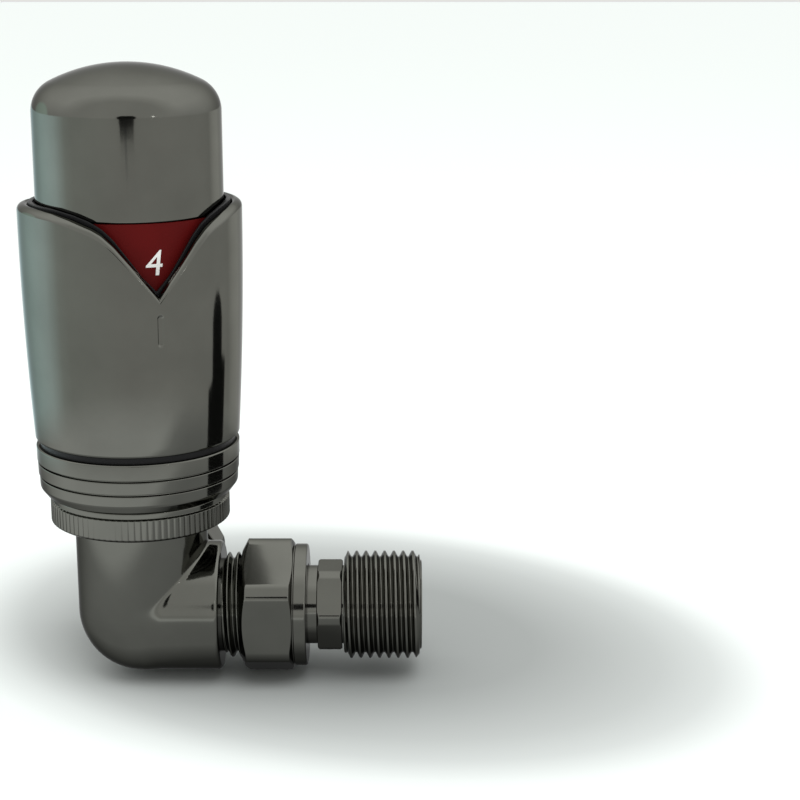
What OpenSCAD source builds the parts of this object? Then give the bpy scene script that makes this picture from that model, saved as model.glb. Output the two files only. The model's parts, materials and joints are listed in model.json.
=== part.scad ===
// Corner thermostatic radiator valve: brass corner body with a union tail for the
// radiator, a compression inlet for a 15 mm pipe, and a sensor head on top.
// Everything is drawn about the point where the head axis crosses the radiator
// axis, and then moved so that the origin is at the start of the radiator thread.
// +X runs out of the radiator tail, +Y out of the pipe inlet, +Z up the head.

/* [Radiator thread] */
// Radius over the crests of the radiator thread
tail_crest_r = 10.4775; // [10.4:0.0025:10.55]
// Distance between two thread crests
gas_pitch = 1.814; // [1.8:0.001:1.83]
// Height of the thread from root to crest
gas_depth = 1.16; // [1.0:0.01:1.2]
// Number of crests on the radiator thread
tail_crests = 8; // [6:1:8]
// Start of the radiator thread, measured from the head axis
tail_thread_x = 39.4; // [39:0.1:40]
// Outer end of the tailpiece, measured from the head axis
tail_end_x = 54; // [54:0.1:56]

/* [Body] */
// Radius of the upright part of the body
body_r = 12.6; // [12.4:0.1:13]
// Radius of the branch towards the radiator
branch_r = 12.5; // [12:0.1:12.6]
// End of the radiator branch, where its thread begins
branch_end_x = 15.4; // [15:0.1:15.6]
// End of the male thread for the union nut
union_thread_end_x = 27; // [26.9:0.1:27.2]
// Height of the pipe inlet above the radiator tail
inlet_z = 3.5; // [3.4:0.1:3.6]
// Radius of the branch towards the pipe
inlet_r = 11.2; // [11:0.1:11.6]
// End of the male thread for the compression nut
inlet_thread_end_y = 25; // [24.9:0.1:25.2]
// Radius of the socket that takes the pipe
pipe_r = 7.6; // [7.55:0.01:7.65]
// Height of the top face of the body
body_top_z = 21.4; // [21.4:0.1:21.5]

/* [Nuts] */
// Distance across the flats of both hexagon nuts
nut_flats = 24; // [23.6:0.1:24.2]
// Radius to which the corners of both nuts are turned
nut_corner_r = 13.3; // [13:0.1:13.5]
// Inner end of the union nut
union_nut_x = 19.3; // [19.2:0.1:19.6]
// Outer end of the union nut
union_nut_end_x = 31.9; // [31.8:0.1:32.1]
// Inner end of the compression nut
pipe_nut_y = 17.5; // [17.4:0.1:17.8]
// Outer end of the compression nut
pipe_nut_end_y = 29; // [28.9:0.1:29.4]

/* [Head] */
// Underside of the knurled coupling ring
ring_z = 18; // [17.9:0.1:18]
// Outer radius of the coupling ring over its knurls
ring_r = 17; // [16.8:0.1:17.1]
// Number of knurls round the coupling ring
knurls = 90; // [60:2:100]
// Underside of the ribbed base ring
base_z = 24; // [23.9:0.1:24.1]
// Top of the ribbed base ring
base_top_z = 33.6; // [33.5:0.1:33.8]
// Bottom edge of the outer sleeve
sleeve_z = 34.8; // [34.6:0.1:35.4]
// Rim of the outer sleeve beside its notches
sleeve_top_z = 78.4; // [78.2:0.1:78.8]
// Largest outer radius of the sleeve
sleeve_r = 20.6; // [20.4:0.1:20.9]
// How far the outer sleeve narrows towards its bottom edge
sleeve_taper = 1.4; // [1.2:0.1:1.5]
// Lowest point of the two pointer notches
notch_z = 63.6; // [63.2:0.1:64]
// Turn of the two pointer notches from the front of the body
notch_turn = 21.5; // [0:0.5:45]
// Outer radius of the turning knob
knob_r = 17.25; // [17.2:0.01:17.4]
// Lower edge of the plated knob cap
cap_z = 77.2; // [77.1:0.1:77.4]
// Highest point of the knob
knob_top_z = 104.2; // [103.8:0.1:104.6]
// Rounding between the wall and the crown of the knob
cap_round = 6.2; // [5:0.1:6.4]
// Radius of the shallow crown on the knob
cap_crown_r = 31; // [30:0.5:33]

/* [Setting] */
// Rise of the knob for one whole turn
knob_lead = 2.5; // [2.4:0.05:2.5]
// Turn from the rest setting down to the frost mark
turn_down = 200; // [150:5:200]
// Turn from the rest setting up to the highest mark
turn_up = 50; // [30:5:50]

/* [Hidden] */
$fn = 96;

// Clearances
eps = 0.01;            // cutters run this far past a face
fit = 0.1;             // gap between static nested parts
thread_gap = 0.13;     // radial gap between a male and a female thread
shaft_gap = 0.07;      // radial gap round a sliding shaft

// Threads
gas_crest_r = tail_crest_r;
gas_root_r = gas_crest_r - gas_depth;
gas_land = 0.4;
union_thread_less = 0.28;    // the union thread is this much smaller in radius than the radiator's
branch_thread_x = 15.9;
branch_crests = 6;
inlet_thread_y = 15.9;
inlet_crests = 5;
head_crest_r = 15;
head_root_r = 14.1;
head_pitch = 1.5;
head_land = 0.35;
head_thread_z = 18.55;
head_crests = 2;

// Body and its passages
body_bore_r = 10.5;
insert_z = 12.5;
chamber_r = 9;
seat_floor_z = 3.4;
seat_z = 4.4;
seat_hole_r = 5;
seat_lip_r = 6.2;
low_chamber_r = 7.2;
low_chamber_z = -7.5;
partition_z = 1.6;
outlet_port_r = 4.5;
outlet_port_z = -3;
tail_socket_r = 7.65;
tail_socket_x = 14;
inlet_port_r = 3.7;
inlet_port_z = 7.2;
pipe_stop_y = 14.5;
branch_end_y = 15.5;
olive_seat_y = 22.9;
olive_mouth_r = 8.9;

// Insert, spindle and plug
insert_r = body_bore_r - fit;
insert_top_z = 27;
boss_r = 6.8;
boss_z = 23.5;
insert_hex_flats = 17;
spring_room_r = 5;
spring_floor_z = 14.5;
gland_z = 24.2;
gland_r = 5.35;
gland_top_z = 28.4;
gland_hex_flats = 11;
gland_groove_r = 3.3;
gland_groove_z = 25;
gland_groove_w = 1.4;
spindle_r = 1.75;
spindle_z = 5.4;
spindle_top_z = 32.5;
spring_collar_z = 22.5;
spring_collar_r = 4.4;
spring_collar_h = 0.8;
washer_z = 6.9;
washer_h = 1.65;
washer_r = 6.65;
holder_r = 7.3;
holder_z = 8.6;
holder_h = 1.6;
holder_hub_z = 12;

// Tailpiece
tail_r = 7.6;
tail_start_x = 17;
tail_bore_r = 5.6;
tail_mouth_r = 7.5;
tail_hex_x = 33.9;
tail_hex_end_x = 38.6;
tail_hex_flats = 16;
tail_hex_corner_r = 8.85;
key_flats = 12;
tail_seal_x = 21;
clip_x = 28;
clip_w = 1.3;
clip_groove_r = 6.9;
clip_r = 9.3;
nut_wall_x = 29.4;
nut_hole_r = 7.75;
union_collar_h = 2.6;
union_collar_r = 11.8;
pipe_collar_h = 1.4;
pipe_collar_r = 11.6;

// Head parts
hub_r = 14.5;
skirt_r = 13.4;
flange_r = 14.5;
flange_z = 21.5;
flange_top_z = 22.6;
lip_z = 22.7;
ring_top_z = 23.7;
knurl_top_z = 22.6;
knurl_depth = 0.35;
cage_hollow_r = 10.6;
cage_floor_z = 30.6;
guide_hole_r = 2.6;
cage_r = 14.5;
cage_bore_r = 12.1;
cage_top_z = 60;
neck_r = 17.2;
neck_top_z = 38;
collar_r = 18.4;              // the black gap between the base ring and the sleeve
sleeve_arc_r = (sleeve_top_z - sleeve_z) * (sleeve_top_z - sleeve_z) / (2 * sleeve_taper);
sleeve_wall_r = 18.6;
sleeve_lip_r = neck_r + fit;
sleeve_step_z = 46;          // above this the sleeve is wide enough for its liner
liner_r = sleeve_wall_r - fit;
liner_bore_r = 17.62;
liner_z = 47;
liner_top_z = 79.6;
groove_z = 56;
groove_h = 4.6;
groove_w = 1.3;
barrel_r = 15.9;
barrel_bore_r = 14.9;
barrel_z = 49;
barrel_top_z = 95.2;
barrel_plate_h = 1.2;
barrel_plate_hole_r = 8;
scale_z = 61;
scale_r = 17.05;
pin_r = 1.2;
pin_z = 54.5;
pin_tip_r = 13;
track_gap = 0.15;
can_r = 11.2;
can_wall = 0.8;
can_z = 52;
can_top_z = 92;
can_flange_r = 14.4;
can_flange_z = 80;
can_flange_h = 1.2;
plate_h = 2;
bellows_top_z = 72;
bellows_inner_r = 6.2;
bellows_outer_r = 8.6;
bellows_wall = 0.3;
bellows_folds = 7;
pusher_r = guide_hole_r - shaft_gap;
pusher_head_r = 8.2;
pusher_head_h = 1.2;
clip_ring_z = 78.6;
clip_ring_h = 1.3;
clip_ring_bore_r = 13;

// ---------- helpers ----------

// Moves everything so that the origin is at the start of the radiator thread
module in_frame() translate([-tail_thread_x, 0, 0]) children();

// Turns an upright shape to lie along +X
module along_x() rotate([0, 90, 0]) children();

// Turns an upright shape to lie along +Y at the height of the pipe inlet
module along_inlet() translate([0, 0, inlet_z]) rotate([-90, 0, 0]) children();

// An upright cylinder from one height to another
module drum(r, low, high) translate([0, 0, low]) cylinder(r = r, h = high - low);

// An upright cone from one height to another
module taper(r_low, r_high, low, high)
    translate([0, 0, low]) cylinder(r1 = r_low, r2 = r_high, h = high - low);

// A ring with a square section
module band(outer, inner, low, high) difference() {
    drum(outer, low, high);
    drum(inner, low - eps, high + eps);
}

// A six-sided prism, with two corners on the local X axis
module hex_prism(flats, low, high)
    translate([0, 0, low]) cylinder(r = flats / sqrt(3), h = high - low, $fn = 6);

// Outline of a row of thread crests: radius first, then height
function crest_points(start, count, pitch, crest, root, land) =
    let (flank = (pitch - land) / 2 - 0.15)
    [for (i = [0 : count - 1]) let (z = start + i * pitch) each [
        [root, z - flank], [crest, z], [crest, z + land], [root, z + land + flank]
    ]];

// A solid rod with ring crests, from one height to another
module crested_rod(start, count, pitch, crest, root, land, low, high)
    rotate_extrude() polygon(concat(
        [[0, low], [root, low]],
        crest_points(start, count, pitch, crest, root, land),
        [[root, high], [0, high]]
    ));

// The gas thread that the body, both nuts and the tailpiece share
module gas_rod(start, count, low, high, gap = 0)
    crested_rod(start, count, gas_pitch, gas_crest_r + gap, gas_root_r + gap, gas_land, low, high);

// The wider thread between the body and the coupling ring
module head_rod(low, high, gap = 0)
    crested_rod(head_thread_z, head_crests, head_pitch, head_crest_r + gap, head_root_r + gap,
        head_land, low, high);

// A rubber ring of round section
module o_ring(ring_r, section_r, z)
    translate([0, 0, z]) rotate_extrude() translate([ring_r, 0]) circle(r = section_r, $fn = 32);

// Height of a spring's centre line after a share of its turns, with one closed turn at each end
function spring_height(turn, turns, wire_r, length) =
    let (closed = 2 * wire_r, open = (length - 4 * wire_r - 2 * closed) / (turns - 2))
    turn < 1 ? wire_r + turn * closed :
    turn < turns - 1 ? wire_r + closed + (turn - 1) * open :
    wire_r + closed + (turns - 2) * open + (turn - turns + 1) * closed;

// One ring of eight points round the wire
function wire_ring(turn, coil_r, wire_r, z) =
    [for (k = [0 : 7]) let (a = k * 45, r = coil_r + wire_r * cos(a), t = turn * 360)
        [r * cos(t), r * sin(t), z + wire_r * sin(a)]];

// A round-wire compression spring standing on a height
module spring(coil_r, wire_r, turns, steps, low, length) {
    count = turns * steps;
    points = [for (i = [0 : count]) let (turn = i / steps)
        each wire_ring(turn, coil_r, wire_r, low + spring_height(turn, turns, wire_r, length))];
    sides = [for (i = [0 : count - 1], k = [0 : 7]) let (a = i * 8 + k, b = i * 8 + (k + 1) % 8)
        each [[a, a + 8, b], [b, a + 8, b + 8]]];
    near_end = [for (k = [1 : 6]) [0, k, k + 1]];
    far_end = [for (k = [1 : 6]) [count * 8, count * 8 + k + 1, count * 8 + k]];
    polyhedron(points, concat(sides, near_end, far_end), convexity = 6);
}

// The hexagon and the turned corners that both nuts share, standing on z = 0
module nut_blank(length, collar_h, collar_r) {
    chamfer_h = 1.25;
    chamfer_in = 2.5;
    intersection() {
        hex_prism(nut_flats, 0, length - collar_h);
        rotate_extrude() polygon([
            [0, 0], [nut_corner_r - chamfer_in, 0], [nut_corner_r, chamfer_h],
            [nut_corner_r, length - collar_h - 0.5], [nut_corner_r - 0.8, length - collar_h],
            [0, length - collar_h]
        ]);
    }
    drum(collar_r - 0.3, length - collar_h - 1, length);
    drum(collar_r, length - collar_h, length - 0.3);
}

// ---------- valve body and inlet ----------

module body_outside() {
    sphere(r = body_r);
    drum(body_r, 0, ring_z);
    head_rod(ring_z, body_top_z);
    along_x() {
        drum(branch_r, 0, branch_end_x - 0.6);
        taper(branch_r, branch_r - 0.6, branch_end_x - 0.6, branch_end_x);
        gas_rod(branch_thread_x, branch_crests, 0, union_thread_end_x, -union_thread_less);
    }
    along_inlet() {
        drum(inlet_r, 0, branch_end_y);
        gas_rod(inlet_thread_y, inlet_crests, 0, inlet_thread_end_y);
    }
}

module body_passages() {
    drum(body_bore_r, insert_z, body_top_z + 1);
    drum(chamber_r, seat_floor_z, insert_z + eps);
    drum(seat_hole_r, partition_z - eps, seat_floor_z + eps);
    drum(low_chamber_r, low_chamber_z, partition_z);
    translate([0, 0, outlet_port_z]) along_x() drum(outlet_port_r, 0, tail_socket_x + 1);
    along_x() drum(tail_socket_r, tail_socket_x, union_thread_end_x + 1);
    translate([0, 0, inlet_port_z - inlet_z]) along_inlet() drum(inlet_port_r, 0, pipe_stop_y + 1);
    along_inlet() {
        drum(pipe_r, pipe_stop_y, inlet_thread_end_y + 1);
        taper(pipe_r, olive_mouth_r, olive_seat_y, inlet_thread_end_y);
        drum(olive_mouth_r, inlet_thread_end_y - eps, inlet_thread_end_y + 1);
    }
}

module valve_body() color("dimgray") {
    difference() {
        body_outside();
        body_passages();
    }
    band(seat_lip_r, seat_hole_r, seat_floor_z - 1, seat_z);
}

module olive() color("goldenrod") along_inlet() rotate_extrude() polygon([
    [pipe_r, 23.5], [7.95, 23.5], [8.6, 25], [8.6, 26], [7.95, 27.4], [pipe_r, 27.4]
]);

module compression_nut() color("dimgray") along_inlet() difference() {
    translate([0, 0, pipe_nut_y])
        nut_blank(pipe_nut_end_y - pipe_nut_y, pipe_collar_h, pipe_collar_r);
    gas_rod(inlet_thread_y, inlet_crests, pipe_nut_y - 1, inlet_thread_end_y + 0.3, thread_gap);
    drum(9.1, inlet_thread_end_y, 26);
    taper(9.1, pipe_r, 26 - eps, 27.9);
    drum(pipe_r, 27, pipe_nut_end_y + 1);
}

// ---------- union to the radiator ----------

module tail_outside() {
    drum(tail_r, tail_start_x + 0.5, tail_hex_x);
    taper(tail_r - 0.5, tail_r, tail_start_x, tail_start_x + 0.5);
    intersection() {
        rotate([0, 0, 30]) hex_prism(tail_hex_flats, tail_hex_x, tail_hex_end_x);
        rotate_extrude() polygon([
            [0, tail_hex_x], [tail_hex_corner_r - 0.6, tail_hex_x], [tail_hex_corner_r, tail_hex_x + 0.5],
            [tail_hex_corner_r, tail_hex_end_x - 0.5], [tail_hex_corner_r - 0.6, tail_hex_end_x],
            [0, tail_hex_end_x]
        ]);
    }
    gas_rod(tail_thread_x, tail_crests, tail_hex_end_x - 1, tail_end_x - 0.6);
    taper(gas_root_r, gas_root_r - 0.5, tail_end_x - 0.6 - eps, tail_end_x);
}

module tailpiece() color("dimgray") along_x() difference() {
    tail_outside();
    drum(tail_bore_r, tail_start_x - 1, tail_end_x);
    hex_prism(key_flats, tail_hex_x, tail_thread_x);
    drum(tail_mouth_r, tail_thread_x, tail_end_x + 1);
    band(tail_r + 1, 6.3, tail_seal_x - 1, tail_seal_x + 1);
    band(tail_r + 1, clip_groove_r, clip_x - 0.05, clip_x + clip_w + 0.05);
}

module tail_seal() color("black") along_x() o_ring(6.97, 0.65, tail_seal_x);

module tail_retaining_ring() color("goldenrod") along_x() difference() {
    band(clip_r, clip_groove_r + 0.05, clip_x, clip_x + clip_w);
    translate([0, -1, clip_x - 1]) cube([clip_r + 1, 2, clip_w + 2]);
}

module union_nut() color("dimgray") along_x() difference() {
    translate([0, 0, union_nut_x])
        nut_blank(union_nut_end_x - union_nut_x, union_collar_h, union_collar_r);
    gas_rod(branch_thread_x, branch_crests, union_nut_x - 1, union_thread_end_x,
        thread_gap - union_thread_less);
    drum(gas_root_r + 0.3, union_thread_end_x - eps, nut_wall_x);
    drum(nut_hole_r, nut_wall_x - 1, union_nut_end_x + 1);
}

// ---------- valve insert ----------

module valve_insert() color("goldenrod") difference() {
    union() {
        crested_rod(16, 4, 1, insert_r, insert_r - 0.6, 0.3, insert_z, body_top_z - 0.4);
        hex_prism(insert_hex_flats, body_top_z - 0.5, boss_z);
        drum(boss_r, boss_z - 1, insert_top_z);
    }
    drum(spindle_r + shaft_gap, insert_z - 1, insert_top_z);
    drum(spring_room_r, spring_floor_z, insert_top_z);
    drum(gland_r + 0.05, gland_z, insert_top_z + 1);
    band(insert_r + 1, insert_r - 1.4, 13.4, 15.2);
}

module insert_seal() color("black") o_ring(9.74, 0.73, 14.3);

module gland_nut() color("goldenrod") difference() {
    union() {
        drum(gland_r, gland_z, insert_top_z + eps);
        hex_prism(gland_hex_flats, insert_top_z, gland_top_z);
    }
    drum(spindle_r + shaft_gap, gland_z - 1, gland_top_z + 1);
    drum(gland_groove_r, gland_groove_z, gland_groove_z + gland_groove_w);
}

module gland_seal() color("black")
    o_ring(2.5, 0.68, gland_groove_z + gland_groove_w / 2);

module return_spring() color("silver")
    spring(3.4, 0.4, 6, 16, spring_floor_z + 0.02, spring_collar_z - spring_floor_z - 0.04);

module spindle() color("silver") {
    drum(spindle_r, spindle_z, spindle_top_z - 0.4);
    taper(spindle_r, spindle_r - 0.4, spindle_top_z - 0.4, spindle_top_z);
    drum(spring_collar_r, spring_collar_z, spring_collar_z + spring_collar_h);
}

module plug_holder() color("goldenrod") difference() {
    union() {
        drum(holder_r, holder_z - 1, holder_z + holder_h);
        drum(3, holder_z, holder_hub_z);
    }
    drum(washer_r + 0.05, holder_z - 2, holder_z);
    drum(spindle_r, holder_z - 2, holder_hub_z + 1);
}

module seat_washer() color("black") band(washer_r, spindle_r, washer_z, washer_z + washer_h);

module plug_nut() color("goldenrod") difference() {
    hex_prism(5.5, washer_z - 1.3, washer_z);
    drum(spindle_r, washer_z - 3, washer_z + 1);
}

// ---------- sensor head ----------

// Straight knurls: a toothed outline with flat crests
module knurled_outline() polygon([
    for (i = [0 : knurls - 1]) let (step = 360 / knurls) each [
        [ring_r * cos(step * (i - 0.28)), ring_r * sin(step * (i - 0.28))],
        [ring_r * cos(step * (i + 0.28)), ring_r * sin(step * (i + 0.28))],
        [(ring_r - knurl_depth) * cos(step * (i + 0.5)), (ring_r - knurl_depth) * sin(step * (i + 0.5))]
    ]
]);

module coupling_ring() color("dimgray") difference() {
    union() {
        taper(ring_r - 0.9, ring_r - knurl_depth - 0.1, ring_z, ring_z + 0.5);
        translate([0, 0, ring_z + 0.5])
            linear_extrude(height = knurl_top_z - ring_z - 0.5) knurled_outline();
        drum(ring_r - knurl_depth - 0.1, knurl_top_z - eps, ring_top_z);
    }
    head_rod(ring_z - 1, body_top_z, thread_gap);
    drum(flange_r + 0.2, body_top_z - eps, lip_z);
    drum(skirt_r + 0.2, lip_z - 1, ring_top_z + 1);
}

// Points of a strip that climbs round the axis: inner and outer radius, low and high edge
function track_section(turn, inner, outer, half_h) =
    let (z = pin_z + knob_lead * turn / 360) [
        for (corner = [[inner, -half_h], [outer, -half_h], [outer, half_h], [inner, half_h]])
            [corner[0] * cos(turn), corner[0] * sin(turn), z + corner[1]]
    ];

// The rising groove that the lift pin follows, closed at both stops
module cam_track() {
    steps = 30;
    end_turn = asin((pin_r + track_gap) / cage_r);
    first = -turn_down - end_turn;
    last = turn_up + end_turn;
    points = [for (i = [0 : steps])
        each track_section(first + (last - first) * i / steps, pin_tip_r - 0.3, cage_r + 1,
            pin_r + track_gap)];
    sides = [for (i = [0 : steps - 1], k = [0 : 3]) let (a = i * 4 + k, b = i * 4 + (k + 1) % 4)
        each [[a, b, a + 4], [b, b + 4, a + 4]]];
    polyhedron(points, concat([[0, 2, 1], [0, 3, 2]], sides,
        [[steps * 4, steps * 4 + 1, steps * 4 + 2], [steps * 4, steps * 4 + 2, steps * 4 + 3]]),
        convexity = 6);
}

// Turns a shape so that its local +X faces the front pointer notch
module to_notch() rotate([0, 0, notch_turn - 90]) children();

module head_cage() color("#1c1c1e") difference() {
    union() {
        drum(flange_r, flange_z, flange_top_z);
        drum(skirt_r, flange_z, base_z);
        drum(hub_r, base_z - eps, base_top_z);
        drum(neck_r, base_top_z - 0.8, neck_top_z);
        drum(collar_r, base_top_z, sleeve_z - fit);
        drum(cage_r, neck_top_z - eps, cage_top_z);
    }
    drum(cage_hollow_r, flange_z - 1, cage_floor_z);
    drum(guide_hole_r, cage_floor_z - 1, cage_floor_z + 4);
    drum(cage_bore_r, cage_floor_z + 3, cage_top_z + 1);
    to_notch() cam_track();
}

module ribbed_base_ring() color("dimgray") rotate_extrude() polygon([
    [hub_r + fit, base_z],
    [17.6, base_z], [18.1, 24.25], [18.6, 25.4], [18.72, 27.55],
    [18.35, 27.6], [18.35, 27.85], [18.85, 27.9],
    [18.95, 30.2], [18.6, 30.25], [18.6, 30.5], [19.05, 30.55],
    [19.15, 33.3], [18.85, base_top_z],
    [neck_r + fit, base_top_z], [neck_r + fit, base_top_z - 0.9],
    [hub_r + fit, base_top_z - 0.9]
]);

// Half outlines of a notch, measured across the sleeve and up from the notch's lowest point
sleeve_notch = [
    [0, 0], [7.7, 9.3], [9.8, 11.3], [11.3, 12.25], [14.7, 13.7], [17.3, 14.5], [19, 14.7]
];
liner_notch = [
    [0, 1.9], [2.3, 4.4], [5, 8.3], [7.2, 11.4], [9, 13.3], [11, 14.6], [13.4, 15.4], [16, 15.8],
    [17.6, 15.95]
];

// One half of a cutter for a notch in a tube with a given top
module half_notch(edge, top) translate([0, notch_z]) polygon(concat(
    edge, [[20, top - notch_z], [22, top - notch_z + 1], [0, top - notch_z + 1]]
));

// Cuts both pointer notches in one pass
module notches(edge, top) rotate([90, 0, 90]) translate([0, 0, -30]) linear_extrude(height = 60) {
    half_notch(edge, top);
    mirror([1, 0]) half_notch(edge, top);
}

// Radius of the sleeve outside at a height
function sleeve_outer(z) =
    sleeve_r - (sleeve_top_z - z) * (sleeve_top_z - z) / (2 * sleeve_arc_r);

module outer_sleeve() color("gray") difference() {
    steps = 18;
    rotate_extrude() polygon(concat(
        [[sleeve_lip_r, sleeve_z], [sleeve_outer(sleeve_z) - 0.3, sleeve_z]],
        [for (i = [0 : steps]) let (z = sleeve_z + 0.3 + (sleeve_top_z - 0.7 - sleeve_z) * i / steps)
            [sleeve_outer(z), z]],
        [[sleeve_r - 0.6, sleeve_top_z], [sleeve_wall_r + 0.4, sleeve_top_z],
         [sleeve_wall_r, sleeve_top_z - 0.4], [sleeve_wall_r, sleeve_step_z], [sleeve_lip_r, 39]]
    ));
    to_notch() notches(sleeve_notch, sleeve_top_z);
    for (side = [0, 180]) rotate([0, 0, side]) to_notch() pointer_groove();
}

// The short engraved line below a notch: a slot with round ends, sunk into the sleeve
module pointer_groove() translate([sleeve_outer(groove_z) + 1.05, 0, groove_z]) {
    along_x() cylinder(r = groove_w / 2, h = 2.8, center = true);
    translate([-1.4, -groove_w / 2, 0]) cube([2.8, groove_w, groove_h]);
    translate([0, 0, groove_h]) along_x() cylinder(r = groove_w / 2, h = 2.8, center = true);
}

// The black edge inside the notches: a thin tube with narrower notches than the sleeve
module sleeve_liner() color("#1c1c1e") difference() {
    band(liner_r, liner_bore_r, liner_z, liner_top_z);
    to_notch() notches(liner_notch, liner_top_z);
}

module sensor_can() color("silver") difference() {
    union() {
        drum(can_r, can_z, can_top_z);
        drum(can_flange_r, can_flange_z, can_flange_z + can_flange_h);
    }
    drum(can_r - can_wall, can_z - 1, can_top_z - can_wall);
}

module sensor_base_plate() color("goldenrod")
    band(can_r - can_wall - 0.02, guide_hole_r + fit, can_z, can_z + plate_h);

module bellows() color("goldenrod") {
    low = can_z + plate_h;
    fold = (bellows_top_z - low) / bellows_folds;
    outside = [for (i = [0 : bellows_folds - 1]) each [
        [bellows_inner_r, low + fold * i], [bellows_outer_r, low + fold * (i + 0.5)]
    ]];
    inside = [for (i = [bellows_folds - 1 : -1 : 0]) each [
        [bellows_outer_r - bellows_wall, low + fold * (i + 0.5)],
        [bellows_inner_r - bellows_wall, low + fold * i]
    ]];
    rotate_extrude() polygon(concat(outside,
        [[bellows_inner_r, bellows_top_z], [bellows_inner_r - bellows_wall, bellows_top_z]], inside));
}

module pusher() color("#e8e4d8") {
    drum(pusher_r, spindle_top_z, bellows_top_z + eps);
    drum(pusher_head_r, bellows_top_z, bellows_top_z + pusher_head_h);
}

module overtravel_spring() color("silver") {
    low = can_flange_z + can_flange_h;
    spring(12.9, 0.7, 6, 18, low + 0.02, barrel_top_z - barrel_plate_h - low - 0.04);
}

module sensor_clip() color("silver") difference() {
    band(barrel_bore_r + 0.35, clip_ring_bore_r, clip_ring_z, clip_ring_z + clip_ring_h);
    rotate([0, 0, 40]) translate([0, -2, clip_ring_z - 1]) cube([barrel_r, 4, clip_ring_h + 2]);
}

module knob_barrel() color("#1c1c1e") difference() {
    drum(barrel_r, barrel_z, barrel_top_z);
    drum(barrel_bore_r, barrel_z - 1, barrel_top_z - barrel_plate_h);
    drum(barrel_plate_hole_r, barrel_top_z - 2, barrel_top_z + 1);
    drum(barrel_bore_r + 0.4, clip_ring_z - 0.05, clip_ring_z + clip_ring_h + 0.05);
    to_notch() translate([0, 0, pin_z]) along_x() drum(pin_r, cage_r, barrel_r + 1);
}

module lift_pin() color("silver")
    to_notch() translate([0, 0, pin_z]) along_x() drum(pin_r, pin_tip_r, barrel_r - 0.05);

module scale_ring() color("darkred") rotate_extrude() polygon([
    [barrel_r + 0.05, scale_z], [scale_r - 0.3, scale_z], [scale_r, scale_z + 0.3],
    [scale_r, cap_z - 0.1], [barrel_r + 0.05, cap_z - 0.1]
]);

// Outline of the plated cap: wall, rounded shoulder and shallow crown, with a wall inside
module cap_outline(inset) {
    crown_z = knob_top_z - cap_crown_r;
    shoulder_z = crown_z + sqrt(pow(cap_crown_r - cap_round, 2) - pow(knob_r - cap_round, 2));
    tangent = asin((knob_r - cap_round) / (cap_crown_r - cap_round));
    polygon(concat(
        [[0, cap_z - (inset > 0 ? 1 : 0)], [knob_r - inset, cap_z - (inset > 0 ? 1 : 0)]],
        [for (i = [0 : 10]) let (a = i * (90 - tangent) / 10, r = cap_round - inset)
            [knob_r - cap_round + r * cos(a), shoulder_z + r * sin(a)]],
        [for (i = [1 : 8]) let (a = tangent * (1 - i / 8), r = cap_crown_r - inset)
            [r * sin(a), crown_z + r * cos(a)]]
    ));
}

module knob_cap() color("gray") difference() {
    rotate_extrude() cap_outline(0);
    rotate_extrude() cap_outline(knob_r - barrel_r - 0.05);
}

// ---------- what is drawn ----------

in_frame() valve_body();
in_frame() valve_insert();
in_frame() insert_seal();
in_frame() gland_nut();
in_frame() gland_seal();
in_frame() return_spring();
in_frame() spindle();
in_frame() plug_holder();
in_frame() seat_washer();
in_frame() plug_nut();
in_frame() tailpiece();
in_frame() tail_seal();
in_frame() tail_retaining_ring();
in_frame() union_nut();
in_frame() olive();
in_frame() compression_nut();
in_frame() coupling_ring();
in_frame() head_cage();
in_frame() ribbed_base_ring();
in_frame() outer_sleeve();
in_frame() sleeve_liner();
in_frame() sensor_can();
in_frame() sensor_base_plate();
in_frame() bellows();
in_frame() pusher();
in_frame() overtravel_spring();
in_frame() sensor_clip();
in_frame() knob_barrel();
in_frame() lift_pin();
in_frame() scale_ring();
in_frame() knob_cap();
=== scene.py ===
"""Looks for the corner thermostatic radiator valve: plated shells, threads and nuts, round the CAD frame.

Lengths are in millimetres until they reach Blender, which takes metres. Every turned piece is drawn about its own
axis, with its height measured along that axis, and is then laid along one of the three axes of the valve.
"""
import json
import math

import bmesh
import bpy
import numpy as np
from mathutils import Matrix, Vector


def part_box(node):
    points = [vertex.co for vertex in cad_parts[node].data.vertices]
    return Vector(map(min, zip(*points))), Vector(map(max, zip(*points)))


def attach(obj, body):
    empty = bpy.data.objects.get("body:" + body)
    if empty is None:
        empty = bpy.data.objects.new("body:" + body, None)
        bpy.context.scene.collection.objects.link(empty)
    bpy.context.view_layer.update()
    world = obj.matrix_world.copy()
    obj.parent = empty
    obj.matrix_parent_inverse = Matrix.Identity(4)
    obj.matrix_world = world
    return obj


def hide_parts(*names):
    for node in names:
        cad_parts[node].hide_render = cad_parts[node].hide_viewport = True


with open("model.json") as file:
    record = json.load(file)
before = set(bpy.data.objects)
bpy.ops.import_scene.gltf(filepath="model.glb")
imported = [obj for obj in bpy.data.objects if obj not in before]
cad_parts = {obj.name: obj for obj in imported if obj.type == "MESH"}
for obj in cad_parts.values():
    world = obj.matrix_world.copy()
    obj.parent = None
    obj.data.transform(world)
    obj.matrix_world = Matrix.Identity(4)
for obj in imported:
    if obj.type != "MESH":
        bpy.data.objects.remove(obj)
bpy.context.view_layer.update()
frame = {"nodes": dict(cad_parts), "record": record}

MM = 0.001
TAU = 2 * math.pi
X, Y, Z = 0, 1, 2

# ---------- places and sizes, from the frame ----------


def span(node, axis):
    """Lowest and highest coordinate of a CAD node along an axis, in millimetres."""
    low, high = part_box(node)
    return low[axis] / MM, high[axis] / MM


def half_width(node, axis):
    """Half of a CAD node's size along an axis."""
    low, high = span(node, axis)
    return (high - low) / 2


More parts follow.
